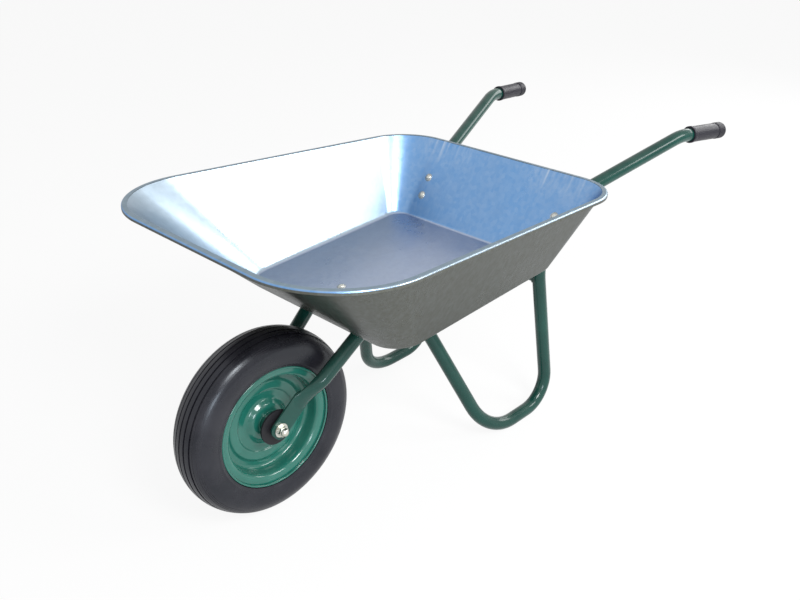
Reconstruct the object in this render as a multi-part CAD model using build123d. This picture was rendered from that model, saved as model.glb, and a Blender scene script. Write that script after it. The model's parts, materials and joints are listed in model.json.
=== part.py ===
from build123d import *
from math import atan2, cos, degrees, hypot, pi, radians, sin, tan
import os

# Garden wheelbarrow: a pressed sheet-steel tray on a bent tube frame, with one air-filled wheel.
# Millimetres. +X points forwards to the wheel, +Y to the user's left, +Z up.
# The ground is Z = 0. While it is being built the wheel's axle stands above X = 0,
# and every piece is moved at the end so that the origin lies under the middle of the length.

# ---------------------------------------------------------------- sheet-steel tray
sheet = 1.0                    # thickness of the pressed steel
tray_floor_length = 440.0      # floor, front edge to rear edge
tray_floor_half_front = 228.0  # half width of the floor at its front edge
tray_floor_half_rear = 225.0   # half width of the floor at its rear edge
tray_floor_corner_front = 60.0
tray_floor_corner_rear = 36.0
tray_floor_round = 12.0        # radius between the floor and the walls
tray_front_reach = 225.5       # the top edge stands this far ahead of the floor's front edge
tray_rear_reach = 115.0        # and this far behind the floor's rear edge
tray_depth_front = 234.0       # top edge above the floor, at the front
tray_depth_rear = 146.0        # top edge above the floor, at the rear
tray_top_half_front = 348.0
tray_top_half_rear = 295.0
tray_top_corner_front = 168.0
tray_top_corner_rear = 100.0
rim_flange = 9.5               # flat flange around the top edge
rim_lip = 6.5                  # turned-down edge of the flange
rim_round = 3.5                # outer radius where the flange turns down
tray_tilt = 1.6                # the floor rises this many degrees towards the rear
tray_floor_front_x = -140.0    # front edge of the floor, behind the axle
tray_floor_front_z = 351.0     # underside of the floor at its front edge

# ---------------------------------------------------------------- frame tube
tube_diameter = 28.0
tube_wall = 1.5
handle_end_x = -1091.1         # open end of the tube, inside the grip
handle_end_y = 282.4
handle_end_z = 529.5
handle_bend_x = -956.0         # where the handle bends up to the hand
handle_bend_y = 264.0
handle_bend_z = 546.0
handle_bend_radius = 90.0
back_run_top = 136.0           # the tube meets the tray's back this far up from the floor edge
back_run_y = 180.0             # the tube's distance from the middle at that point
back_bend_radius = 70.0
leg_top_y = 175.0
leg_top_radius = 110.0
leg_rear_x = -619.5            # rear lower corner of the leg loop
leg_front_x = -422.0           # front lower corner of the leg loop
leg_foot_y = 187.0
leg_rear_radius = 66.0
leg_front_radius = 106.0
floor_run_rear = 178.0         # the tube runs under the floor from here, behind its front edge
floor_run_front = 60.0         # to here
floor_run_rear_y = 72.0
floor_run_front_y = 78.0
floor_run_rear_radius = 58.0
floor_run_front_radius = 62.0
weld_gap = 0.1                 # clearance where a curved tube rests on a flat sheet

# flattened front end of the tube
flat_start = 124.0             # the tube is round down to this distance from the axle
flat_end = 46.0                # and pressed flat from this distance on
flat_thickness = 3.6
flat_width = 40.0
flat_past_axle = 18.0          # end of the flat, beyond the axle
flat_bore_end = 18.0           # the bore closes this far before the flat's round heel
press_thinning = 0.9           # the pressed oval ends a little inside the flat
press_narrowing = 0.97
flat_corner = 15.0             # radius of the flat's two end corners
fork_shoulder_y = 66.0         # the tube's distance from the middle where the flattening starts

# ---------------------------------------------------------------- cross pieces
strap_width = 30.0             # flat bar that carries the tray, welded across both tubes
strap_thickness = 4.0
strap_overhang = 9.0           # beyond the centre of each tube
strap_back = 107.0             # centre of the strap, behind the floor's front edge
brace_diameter = 20.0          # round brace between the rear legs
brace_wall = 1.5
brace_drop = 50.0              # below the floor's rear edge

# ---------------------------------------------------------------- grips
grip_diameter = 34.0
grip_length = 112.0
grip_end_wall = 4.0
grip_round = 7.0
grip_collar_diameter = 38.0
grip_collar_length = 7.0
grip_collar_chamfer = 1.8
grip_fit = 0.05

# ---------------------------------------------------------------- tray fasteners
bolt_diameter = 8.0
bolt_hole_clearance = 0.5      # added to the diameter
bolt_head_diameter = 19.0
bolt_head_height = 4.5
bolt_head_fit = 0.06           # between the head and the sheet it sits on
bolt_end = 4.0                 # thread that stands past the nut
washer_diameter = 17.0
washer_thickness = 1.6
nut_flats = 13.0
nut_height = 6.5
thread_fit = 0.05              # radial, between every nut or cap and its thread
back_bolt_low = 52.0           # bolts in the tray's back, measured up from the floor edge
back_bolt_high = 95.0
floor_bolt_spacing = 90.0      # between the two bolts through the strap

# ---------------------------------------------------------------- wheel
tyre_diameter = 370.0
tyre_width = 90.0
tyre_widest_radius = 150.0     # where the side wall stands out furthest
tyre_shoulder_radius = 176.0
tyre_shoulder_half = 33.0
tyre_crown_thickness = 8.0
tyre_side_thickness = 6.0
tyre_bead_width = 12.0
tyre_side_step = 2.0           # the side wall leaves the rim at least this far inside its widest
tread_groove_width = 3.6
tread_groove_depth = 3.0
tread_groove_pitch = 12.0
tread_groove_count = 5
tube_rubber = 2.0              # wall of the inner tube
tube_fit = 0.3                 # between the inner tube and the tyre
rim_seat_diameter = 203.0      # where the tyre's beads sit
rim_flange_height = 20.0
rim_width = 66.0               # between the flanges
rim_lip_width = 5.0            # rolled edge of each flange
rim_sheet = 1.6
rim_corner = 3.0               # slope between seat, flange and edge, and on the tyre's beads
disc_ridge_outer = 84.0        # raised ring pressed in each disc
disc_ridge_inner = 62.0
disc_ridge_height = 4.0
disc_dome_radius = 46.0        # the disc domes out around the hub
disc_dome_height = 11.0
hub_diameter = 42.0
hub_wall = 4.0
hub_length = 68.0
bead_fit = 0.3                 # between the tyre's beads and the rim

# ---------------------------------------------------------------- axle and roller bearings
axle_diameter = 12.0
axle_fit = 0.1                 # radial, axle in sleeve and in fork ends
sleeve_diameter = 22.0
sleeve_length = 92.0           # keeps the fork ends apart
roller_count = 8
roller_fit = 0.05              # radial running clearance on the sleeve
roller_length = 18.0
cage_length = 24.0
cage_pocket_fit = 0.15
cage_depth_share = 0.62        # of the rollers' radius, the cage's half thickness
cage_flange_diameter = 70.0    # black end cap that covers the rollers
cage_flange_thickness = 4.0
axle_washer_diameter = 28.0
axle_washer_thickness = 2.5
cap_nut_flats = 19.0
cap_nut_hex_height = 8.0
cap_nut_dome_radius = 8.6
axle_thread_in_nut = 11.0
cap_nut_end_space = 0.5        # beyond the thread, inside the dome

# ---------------------------------------------------------------- valve
valve_y = -13.0                # on the right of the rim's middle
valve_diameter = 8.0
valve_hole_clearance = 1.5
valve_length = 34.0            # from the inner tube to the cap's end
valve_cap_diameter = 9.6
valve_cap_length = 12.0
valve_foot_diameter = 12.0
valve_foot_thickness = 2.0
valve_thread_share = 0.8       # of the stem's diameter
valve_cap_chamfer = 1.2
valve_cap_bore_share = 0.7     # of the cap's length

# ---------------------------------------------------------------- values that follow
tube_radius = tube_diameter / 2
tyre_radius = tyre_diameter / 2
axle_z = tyre_radius
axle_radius = axle_diameter / 2
sleeve_radius = sleeve_diameter / 2
bolt_radius = bolt_diameter / 2
bolt_hole_radius = (bolt_diameter + bolt_hole_clearance) / 2
nodes = {}


def tray_point(back, up):
    """X and Z of a point given behind the floor's front edge and above its underside."""
    tilt = radians(tray_tilt)
    x = tray_floor_front_x - back * cos(tilt) + up * sin(tilt)
    z = tray_floor_front_z + back * sin(tilt) + up * cos(tilt)
    return x, z


def add_node(name, *shapes):
    """Collect the solids of one sub-part."""
    found = []
    for shape in shapes:
        found += list(shape.solids())
    nodes[name] = found


def mirrored(shape):
    """The same piece on the right-hand side."""
    return mirror(shape, about=Plane.XZ)


def revolved(face):
    """Solid of revolution about the axle, from a face drawn as (radius, Y)."""
    spun = revolve(face, axis=Axis.Y, revolution_arc=360)
    return spun.moved(Location((0, 0, axle_z)))


def rod_y(radius, y_from, y_to):
    """A round bar on the axle's line."""
    middle = Location((0, (y_from + y_to) / 2, axle_z), (90, 0, 0))
    return Cylinder(radius, abs(y_to - y_from)).moved(middle)


def rod_between(start, end, radius):
    """A round bar from one point to another."""
    plane = Plane(origin=start, z_dir=end - start)
    return extrude(plane * Circle(radius), amount=(end - start).length)


# ---------------------------------------------------------------- tray
front_angle = atan2(tray_depth_front, tray_front_reach)
rear_angle = atan2(tray_depth_rear, tray_rear_reach)
front_side_angle = atan2(tray_depth_front, tray_top_half_front - tray_floor_half_front)
rear_side_angle = atan2(tray_depth_rear, tray_top_half_rear - tray_floor_half_rear)
top_run = tray_front_reach + tray_floor_length + tray_rear_reach
top_drop = tray_depth_front - tray_depth_rear
top_length = hypot(top_run, top_drop)
top_plane = Plane(
    origin=(tray_front_reach, 0, tray_depth_front),
    x_dir=(top_run, 0, top_drop),
    z_dir=(-top_drop, 0, top_run),
)


def pan_outline(plane, front, rear, half_front, half_rear, corner_front, corner_rear):
    """Rounded trapezium: the outline of the tray at one level."""
    corners = [(rear, -half_rear), (front, -half_front), (front, half_front), (rear, half_rear)]
    radii = [corner_rear, corner_front, corner_front, corner_rear]
    with BuildLine(plane) as line:
        FilletPolyline(*corners, radius=radii, close=True)
    return line.wire()


def inset(angle):
    """Level distance between the two faces of a wall that leans at this angle."""
    return sheet / sin(angle)


def bottom_inset(angle):
    """The same, measured on top of the floor sheet."""
    return sheet / sin(angle) - sheet / tan(angle)


floor_outline = pan_outline(
    Plane.XY,
    0,
    -tray_floor_length,
    tray_floor_half_front,
    tray_floor_half_rear,
    tray_floor_corner_front,
    tray_floor_corner_rear,
)
top_outline = pan_outline(
    top_plane,
    0,
    -top_length,
    tray_top_half_front,
    tray_top_half_rear,
    tray_top_corner_front,
    tray_top_corner_rear,
)
inner_floor_outline = pan_outline(
    Plane.XY.offset(sheet),
    -bottom_inset(front_angle),
    -tray_floor_length + bottom_inset(rear_angle),
    tray_floor_half_front - bottom_inset(front_side_angle),
    tray_floor_half_rear - bottom_inset(rear_side_angle),
    tray_floor_corner_front - sheet,
    tray_floor_corner_rear - sheet,
)
inner_top_outline = pan_outline(
    top_plane,
    -inset(front_angle),
    -top_length + inset(rear_angle),
    tray_top_half_front - inset(front_side_angle),
    tray_top_half_rear - inset(rear_side_angle),
    tray_top_corner_front - sheet,
    tray_top_corner_rear - sheet,
)
pan = Solid.make_loft([floor_outline, top_outline], True)
pan = pan.fillet(tray_floor_round, pan.faces().sort_by(Axis.Z)[0].edges())
hollow = Solid.make_loft([inner_floor_outline, inner_top_outline], True)
hollow = hollow.fillet(tray_floor_round - sheet, hollow.faces().sort_by(Axis.Z)[0].edges())
mouth = extrude(Face(inner_top_outline), amount=2 * sheet, dir=top_plane.z_dir)

# The flange and its turned-down lip follow the same outline, further out.
lip_outer = Face(top_outline.offset_2d(rim_flange))
lip_inner = Face(top_outline.offset_2d(rim_flange - sheet))
collar = extrude(lip_outer, amount=rim_lip + sheet, dir=top_plane.z_dir)
collar = collar.moved(Location(top_plane.z_dir * -rim_lip))
collar_top = collar.faces().sort_by(Axis(top_plane.origin, top_plane.z_dir))[-1]
collar = collar.solid().fillet(rim_round, collar_top.edges())
core = extrude(lip_inner, amount=2 * rim_lip, dir=top_plane.z_dir)
core = core.moved(Location(top_plane.z_dir * (-2 * rim_lip)))
core_top = core.faces().sort_by(Axis(top_plane.origin, top_plane.z_dir))[-1]
core = core.solid().fillet(rim_round - sheet, core_top.edges())
tray = (pan + (collar - core)) - hollow - mouth
tray_place = Location((tray_floor_front_x, 0, tray_floor_front_z), (0, tray_tilt, 0))

# ---------------------------------------------------------------- frame tube, left-hand side
back_foot = tray_point(tray_floor_length, 0)
back_top = tray_point(tray_floor_length + tray_rear_reach, tray_depth_rear)
back_length = hypot(back_top[0] - back_foot[0], back_top[1] - back_foot[1])
back_up = Vector(back_top[0] - back_foot[0], 0, back_top[1] - back_foot[1]) / back_length
back_out = Vector(-back_up.Z, 0, back_up.X)


def back_point(along, out, y):
    """A point on the tray's back: up along it from the floor edge, and out from it."""
    base = Vector(back_foot[0], y, back_foot[1])
    return base + back_up * along + back_out * out


tube_off_back = tube_radius + weld_gap
tube_under_floor = strap_thickness + tube_radius + weld_gap
run_rear = tray_point(floor_run_rear, -tube_under_floor)
run_front = tray_point(floor_run_front, -tube_under_floor)
arm_dir = Vector(-run_front[0], 0, axle_z - run_front[1]).normalized()
axle_centre = Vector(0, 0, axle_z)
flat_y = sleeve_length / 2 + flat_thickness / 2


def arm_point(before, y):
    """A point on the fork arm's line, this far before the axle."""
    base = axle_centre - arm_dir * before
    return Vector(base.X, y, base.Z)


frame_points = [
    Vector(handle_end_x, handle_end_y, handle_end_z),
    Vector(handle_bend_x, handle_bend_y, handle_bend_z),
    back_point(back_run_top, tube_off_back, back_run_y),
    back_point(0, tube_off_back, leg_top_y),
    Vector(leg_rear_x, leg_foot_y, tube_radius),
    Vector(leg_front_x, leg_foot_y, tube_radius),
    Vector(run_rear[0], floor_run_rear_y, run_rear[1]),
    Vector(run_front[0], floor_run_front_y, run_front[1]),
    arm_point(flat_start, fork_shoulder_y),
]
frame_radii = [
    handle_bend_radius,
    back_bend_radius,
    leg_top_radius,
    leg_rear_radius,
    leg_front_radius,
    floor_run_rear_radius,
    floor_run_front_radius,
]
frame_path = FilletPolyline(*frame_points, radius=frame_radii)


def tube_along(path, radius):
    """A round bar along a path of straight runs and tangent bends."""
    start = path.position_at(0)
    section = Plane(origin=start, z_dir=path.tangent_at(0)) * Circle(radius)
    return sweep(section, path=path)


def flattened(radius, thickness, width, upto):
    """The pressed end: round at the shoulder, then an ever flatter and wider oval."""
    across = arm_dir.cross(Vector(0, 1, 0))
    entry = frame_path.tangent_at(1)
    shoulder = frame_path.position_at(1)
    span = flat_start - flat_end
    end = arm_point(flat_end, flat_y)
    sections = []
    for step in (0.0, 0.3, 0.6, 0.85, 1.0):
        share = step * upto
        ease = share * share * (3 - 2 * share)
        centre = arm_point(flat_start - span * share, 0)
        straight = shoulder.Y + entry.Y / hypot(entry.X, entry.Z) * span * share
        y = straight * (1 - ease) + end.Y * ease
        half_wide = radius * (1 - ease) + width / 2 * ease
        half_thick = radius * (1 - ease) + thickness / 2 * ease
        lead = entry * (1 - ease) + arm_dir * ease
        plane = Plane(origin=(centre.X, y, centre.Z), x_dir=across, z_dir=lead)
        sections.append(plane * Ellipse(half_wide, half_thick))
    return loft(sections)


inner_radius = tube_radius - tube_wall
flat_root = flat_end + flat_width / 2 + flat_bore_end
hollow_share = (flat_start - flat_root) / (flat_start - flat_end)
outer_tube = tube_along(frame_path, tube_radius)
oval_width = flat_width * press_narrowing
outer_end = flattened(tube_radius, flat_thickness * press_thinning, oval_width, 1.0)
tube_space = tube_along(frame_path, inner_radius)
end_space = flattened(inner_radius, 0, oval_width - 2 * tube_wall, hollow_share)
flat_plane = Plane(
    origin=(0, flat_y - flat_thickness / 2, axle_z), x_dir=arm_dir, z_dir=(0, 1, 0)
)
flat_corners = [
    (-flat_root, -flat_width / 2),
    (flat_past_axle, -flat_width / 2),
    (flat_past_axle, flat_width / 2),
    (-flat_root, flat_width / 2),
]
heel_radius = press_narrowing * flat_width / 2
flat_radii = [heel_radius, flat_corner, flat_corner, heel_radius]
with BuildLine(flat_plane) as flat_line:
    FilletPolyline(*flat_corners, radius=flat_radii, close=True)
flat = extrude(Face(flat_line.wire()), amount=flat_thickness, dir=(0, 1, 0))
tube_solid = outer_tube + outer_end
frame_tube = (tube_solid - tube_space - end_space) + flat
frame_tube = frame_tube - rod_y(axle_radius + axle_fit, 0, sleeve_length)


def back_bolt_y(along):
    """The tube's distance from the middle, this far up the tray's back."""
    return leg_top_y + (back_run_y - leg_top_y) * along / back_run_top


def back_bolt_plane(along):
    """On the tray's inner face at a bolt through its back, facing into the tray."""
    inner_face = -sheet - bolt_head_fit
    return Plane(origin=back_point(along, inner_face, back_bolt_y(along)), z_dir=back_out * -1)


def floor_bolt_plane(side):
    """On the floor's upper face at a bolt through the strap, facing up."""
    x, z = tray_point(strap_back, sheet + bolt_head_fit)
    up = (sin(radians(tray_tilt)), 0, cos(radians(tray_tilt)))
    return Plane(origin=(x, side * floor_bolt_spacing / 2, z), z_dir=up)


def drilled(plane, depth):
    """The drill for a bolt set on this plane."""
    hole = Cylinder(bolt_hole_radius, depth, align=(Align.CENTER, Align.CENTER, Align.MAX))
    above = Cylinder(bolt_hole_radius, sheet, align=(Align.CENTER, Align.CENTER, Align.MIN))
    return plane * (hole + above)


back_planes = [back_bolt_plane(along) for along in (back_bolt_low, back_bolt_high)]
floor_planes = [floor_bolt_plane(side) for side in (1, -1)]
back_grip = bolt_head_fit + sheet + weld_gap + tube_diameter + weld_gap
floor_grip = bolt_head_fit + sheet + strap_thickness
back_drills = [drilled(plane, back_grip + sheet) for plane in back_planes]
floor_drills = [drilled(plane, floor_grip + sheet) for plane in floor_planes]

for drill in back_drills:
    frame_tube = frame_tube - drill
tray = tray.moved(tray_place)
for drill in back_drills + [mirrored(drill) for drill in back_drills] + floor_drills:
    tray = tray - drill
add_node("tray", tray)
add_node("left_frame_tube", frame_tube)
add_node("right_frame_tube", mirrored(frame_tube))

# ---------------------------------------------------------------- cross pieces
strap_x, strap_z = tray_point(strap_back, -strap_thickness / 2)
strap_share = (floor_run_rear - strap_back) / (floor_run_rear - floor_run_front)
strap_tube_y = floor_run_rear_y + (floor_run_front_y - floor_run_rear_y) * strap_share
strap = Box(strap_width, 2 * (strap_tube_y + strap_overhang), strap_thickness)
strap = strap.moved(Location((strap_x, 0, strap_z), (0, tray_tilt, 0)))
for drill in floor_drills:
    strap = strap - drill
add_node("tray_support_strap", strap)

leg_top = frame_points[3]
leg_foot = frame_points[4]
brace_z = back_foot[1] - brace_drop
brace_end = leg_top + (leg_foot - leg_top) * ((leg_top.Z - brace_z) / (leg_top.Z - leg_foot.Z))
brace_left = Vector(brace_end.X, brace_end.Y, brace_end.Z)
brace_right = Vector(brace_end.X, -brace_end.Y, brace_end.Z)
brace = rod_between(brace_right, brace_left, brace_diameter / 2)
brace = brace - rod_between(brace_right, brace_left, brace_diameter / 2 - brace_wall)
brace = brace - tube_solid - mirrored(tube_solid)
add_node("leg_brace", brace)

# ---------------------------------------------------------------- grips
grip_dir = (frame_points[0] - frame_points[1]).normalized()
grip_plane = Plane(origin=frame_points[0] + grip_dir * grip_end_wall, z_dir=grip_dir)
back_down = (Align.CENTER, Align.CENTER, Align.MAX)
grip = Cylinder(grip_diameter / 2, grip_length, align=back_down)
grip = fillet(grip.edges().sort_by(Axis.Z)[-1], grip_round)
collar_place = Location((0, 0, grip_collar_length - grip_length))
grip_collar = Cylinder(grip_collar_diameter / 2, grip_collar_length, align=back_down)
grip_collar = chamfer(grip_collar.edges().filter_by(GeomType.CIRCLE), grip_collar_chamfer)
grip = grip + grip_collar.moved(collar_place)
grip_bore = Cylinder(tube_radius + grip_fit, grip_length, align=back_down)
grip = grip_plane * (grip - grip_bore.moved(Location((0, 0, -grip_end_wall))))
add_node("left_grip", grip)
add_node("right_grip", mirrored(grip))


# ---------------------------------------------------------------- tray fasteners
def carriage_bolt(grip_thickness):
    """Domed head on Z = 0, shank down through the grip, washer, nut and a little more."""
    length = grip_thickness + washer_thickness + nut_height + bolt_end
    base = bolt_head_diameter / 2
    sphere = (base * base + bolt_head_height * bolt_head_height) / (2 * bolt_head_height)
    ball = Sphere(sphere).moved(Location((0, 0, bolt_head_height - sphere)))
    disc = Cylinder(base, bolt_head_height, align=(Align.CENTER, Align.CENTER, Align.MIN))
    return (ball & disc) + Cylinder(bolt_radius, length, align=back_down)


def plain_washer(outer, thickness, bore):
    """A washer whose upper face is on Z = 0."""
    return Cylinder(outer / 2, thickness, align=back_down) - Cylinder(bore, 3 * thickness)


def hex_nut(flats, height, bore):
    """A hexagon nut whose upper face is on Z = 0, with both rims turned off."""
    across = flats / cos(pi / 6)
    blank = extrude(RegularPolygon(flats / 2, 6, major_radius=False), amount=-height)
    turned = Cylinder(across / 2, height, align=back_down)
    turned = chamfer(turned.edges().filter_by(GeomType.CIRCLE), (across - flats) / 4)
    return (blank & turned) - Cylinder(bore, 3 * height)


back_bolt = carriage_bolt(back_grip)
floor_bolt = carriage_bolt(floor_grip)
washer = plain_washer(washer_diameter, washer_thickness, bolt_hole_radius)
nut = hex_nut(nut_flats, nut_height, bolt_radius + thread_fit)


def stacked(planes, shape, depth):
    """The same piece at each plane, this far below it."""
    return [plane * shape.moved(Location((0, 0, -depth))) for plane in planes]


def both_sides(shapes):
    """The pieces and their right-hand copies."""
    return shapes + [mirrored(shape) for shape in shapes]


add_node("back_bolts", *both_sides(stacked(back_planes, back_bolt, 0)))
add_node("back_washers", *both_sides(stacked(back_planes, washer, back_grip)))
add_node("back_nuts", *both_sides(stacked(back_planes, nut, back_grip + washer_thickness)))
add_node("floor_bolts", *stacked(floor_planes, floor_bolt, 0))
add_node("floor_washers", *stacked(floor_planes, washer, floor_grip))
add_node("floor_nuts", *stacked(floor_planes, nut, floor_grip + washer_thickness))

# ---------------------------------------------------------------- rim of the wheel
rim_half = rim_width / 2
seat_radius = rim_seat_diameter / 2
flange_radius = seat_radius + rim_flange_height
hub_radius = hub_diameter / 2
hub_bore = hub_radius - hub_wall
half_sheet = rim_sheet / 2
lip_radius = flange_radius - half_sheet
base_line = seat_radius - half_sheet
disc_y = half_sheet
flange_y = rim_half + half_sheet
ridge_y = disc_y + disc_ridge_height
dome_y = disc_y + disc_dome_height
rim_path = [
    (lip_radius, flange_y + rim_lip_width),
    (lip_radius, flange_y + rim_corner),
    (lip_radius - rim_corner, flange_y),
    (base_line + rim_corner, flange_y),
    (base_line, flange_y - rim_corner),
    (base_line, disc_y),
    (disc_ridge_outer, disc_y),
    (disc_ridge_outer - disc_ridge_height, ridge_y),
    (disc_ridge_inner + disc_ridge_height, ridge_y),
    (disc_ridge_inner, disc_y),
    (disc_dome_radius, disc_y),
    (disc_dome_radius - disc_dome_height, dome_y),
    (hub_radius, dome_y),
]
rim_line = Polyline(*rim_path)
rim_face = Face(rim_line.wire().offset_2d(half_sheet, kind=Kind.INTERSECTION))
trimmed = Rectangle(
    flange_radius - hub_radius,
    flange_y + rim_lip_width,
    align=(Align.MIN, Align.MIN),
)
rim_face = rim_face & trimmed.moved(Location((hub_radius, 0, 0)))
rim = revolved(rim_face)
add_node("rim_left", rim)
valve_radius = valve_diameter / 2
valve_drill = Cylinder(
    valve_radius + valve_hole_clearance / 2,
    2 * rim_flange_height,
    align=(Align.CENTER, Align.CENTER, Align.MIN),
)
valve_drill = valve_drill.moved(Location((0, valve_y, axle_z + disc_ridge_outer)))
add_node("rim_right", mirrored(rim) - valve_drill)
hub = rod_y(hub_radius, -hub_length / 2, hub_length / 2)
hub = hub - rod_y(hub_bore, -hub_length, hub_length)
add_node("hub_tube", hub)

# ---------------------------------------------------------------- tyre
bead_outer = rim_half - bead_fit
bead_inner = bead_outer - tyre_bead_width
bead_radius = seat_radius + bead_fit
bead_top = flange_radius + bead_fit
lip_edge = rim_half + rim_sheet + rim_lip_width
widest = tyre_width / 2
side_start = (bead_top, min(lip_edge, widest - tyre_side_step))
side_peak = (tyre_widest_radius, widest)
shoulder = (tyre_shoulder_radius, tyre_shoulder_half)
cavity_crown = tyre_radius - tyre_crown_thickness
cavity_side = widest - tyre_side_thickness
cavity = [
    (bead_radius + tyre_side_thickness, bead_inner),
    (tyre_widest_radius, cavity_side),
    (tyre_shoulder_radius - tyre_crown_thickness, tyre_shoulder_half - tyre_side_thickness / 3),
    (cavity_crown, tyre_shoulder_half / 2),
]


def mirrored_pairs(points):
    """The same points with Y turned round, in reverse order."""
    return [(r, -y) for r, y in reversed(points)]


bead_line = [
    (bead_radius, bead_inner),
    (bead_radius, bead_outer - rim_corner),
    (bead_radius + rim_corner, bead_outer),
    (bead_top, bead_outer),
    side_start,
]
side_low = TangentArc(side_peak, side_start, tangent=(-1, 0))
side_high = TangentArc(side_peak, shoulder, tangent=(1, 0))
crown = ThreePointArc(shoulder, (tyre_radius, 0), (shoulder[0], -shoulder[1]))
left_lines = [Polyline(*cavity[::-1], *bead_line), side_low, side_high]
right_lines = [mirror(line, about=Plane.XZ) for line in left_lines]
closing = Line(cavity[-1], mirrored_pairs(cavity)[0])
tyre_line = Wire([e for line in left_lines + right_lines + [crown, closing] for e in line.edges()])
tyre_face = Face(tyre_line)
sag = tyre_radius - tyre_shoulder_radius
crown_radius = (tyre_shoulder_half**2 + sag**2) / (2 * sag)
for i in range(tread_groove_count):
    y = (i - (tread_groove_count - 1) / 2) * tread_groove_pitch
    surface = tyre_radius - crown_radius + (crown_radius**2 - y**2) ** 0.5
    groove = Rectangle(4 * tread_groove_depth, tread_groove_width)
    groove = groove.moved(Location((surface + tread_groove_depth, y, 0)))
    tyre_face = tyre_face - groove
add_node("tyre", revolved(tyre_face))

base_radius = bead_radius + tyre_side_thickness
bladder_outline = Polyline(*cavity, *mirrored_pairs(cavity), close=True)
bladder_outer = Face(bladder_outline.wire().offset_2d(-tube_fit, kind=Kind.INTERSECTION))
bladder_inner = Face(
    bladder_outline.wire().offset_2d(-tube_fit - tube_rubber, kind=Kind.INTERSECTION)
)
add_node("inner_tube", revolved(bladder_outer - bladder_inner))

# ---------------------------------------------------------------- valve
valve_top = axle_z + base_radius + tube_fit
stem_length = valve_length - valve_cap_length
foot = Cylinder(valve_foot_diameter / 2, valve_foot_thickness, align=back_down)
stem = foot + Cylinder(valve_radius, stem_length, align=back_down)
thread_radius = valve_radius * valve_thread_share
thread = Cylinder(thread_radius, valve_length - valve_cap_length / 3, align=back_down)
stem = (stem + thread).moved(Location((0, valve_y, valve_top)))
stem = stem & rod_y(base_radius + tube_fit, -rim_half, rim_half)
add_node("valve_stem", stem)
cap = Cylinder(valve_cap_diameter / 2, valve_cap_length, align=back_down)
cap = chamfer(cap.edges().sort_by(Axis.Z)[0], valve_cap_chamfer)
cap_depth = valve_cap_length * valve_cap_bore_share
cap_space = Cylinder(thread_radius + thread_fit, cap_depth, align=back_down)
cap = (cap - cap_space).moved(Location((0, valve_y, valve_top - stem_length)))
add_node("valve_cap", cap)

# ---------------------------------------------------------------- axle and roller bearings
half_sleeve = sleeve_length / 2
flat_outside = half_sleeve + flat_thickness
washer_outside = flat_outside + axle_washer_thickness
rod_end = washer_outside + axle_thread_in_nut
add_node("axle_rod", rod_y(axle_radius, -rod_end, rod_end))
sleeve_bore = rod_y(axle_radius + axle_fit, -sleeve_length, sleeve_length)
add_node("axle_sleeve", rod_y(sleeve_radius, -half_sleeve, half_sleeve) - sleeve_bore)
axle_washer = rod_y(axle_washer_diameter / 2, flat_outside, washer_outside) - sleeve_bore
add_node("axle_washers", axle_washer, mirrored(axle_washer))

nut_across = cap_nut_flats / cos(pi / 6)
nut_plane = Plane(origin=(0, washer_outside, axle_z), x_dir=(1, 0, 0), z_dir=(0, 1, 0))
cap_hex = extrude(RegularPolygon(cap_nut_flats / 2, 6, major_radius=False), amount=cap_nut_hex_height)
cap_turned = Cylinder(nut_across / 2, cap_nut_hex_height, align=(Align.CENTER, Align.CENTER, Align.MIN))
cap_turned = chamfer(cap_turned.edges().filter_by(GeomType.CIRCLE), (nut_across - cap_nut_flats) / 4)
cap_dome = Sphere(cap_nut_dome_radius).moved(Location((0, 0, cap_nut_hex_height)))
cap_below = Box(4 * nut_across, 4 * nut_across, 2 * cap_nut_flats, align=back_down)
cap_bore = Cylinder(axle_radius + thread_fit, 2 * (axle_thread_in_nut + cap_nut_end_space))
cap_nut = nut_plane * (((cap_hex & cap_turned) + cap_dome) - cap_below - cap_bore)
add_node("axle_nuts", cap_nut, mirrored(cap_nut))

roller_radius = (hub_bore - sleeve_radius) / 2 - roller_fit
roller_circle = (hub_bore + sleeve_radius) / 2
cage_half = roller_radius * cage_depth_share
hub_end = hub_length / 2
cage_start = hub_end - cage_length
roller_middle = hub_end - cage_length / 2
cage_inside = rod_y(roller_circle - cage_half, 0, hub_length)
cage = rod_y(roller_circle + cage_half, cage_start, hub_end)
cage = cage + rod_y(cage_flange_diameter / 2, hub_end, hub_end + cage_flange_thickness)
cage = cage - cage_inside
rollers = []
for i in range(roller_count):
    turn = 2 * pi * i / roller_count
    centre = (roller_circle * cos(turn), roller_middle, axle_z + roller_circle * sin(turn))
    place = Location(centre, (90, 0, 0))
    rollers.append(Cylinder(roller_radius, roller_length).moved(place))
    pocket = Cylinder(roller_radius + cage_pocket_fit, roller_length + 2 * cage_pocket_fit)
    cage = cage - pocket.moved(place)
add_node("roller_cages", cage, mirrored(cage))
add_node("rollers", *both_sides(rollers))

# ---------------------------------------------------------------- place the origin and write the sub-parts
grip_rear = min(solid.bounding_box().min.X for solid in nodes["left_grip"])
to_origin = Location((-(tyre_radius + grip_rear) / 2, 0, 0))
os.makedirs("parts", exist_ok=True)
for name, solids in nodes.items():
    placed = [solid.moved(to_origin) for solid in solids]
    export_step(placed[0] if len(placed) == 1 else Compound(children=placed), f"parts/{name}.step")
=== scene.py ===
import json
from math import atan2, cos, degrees, hypot, pi, radians, sin

import bmesh
import bpy
from mathutils import Matrix, Vector


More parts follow.
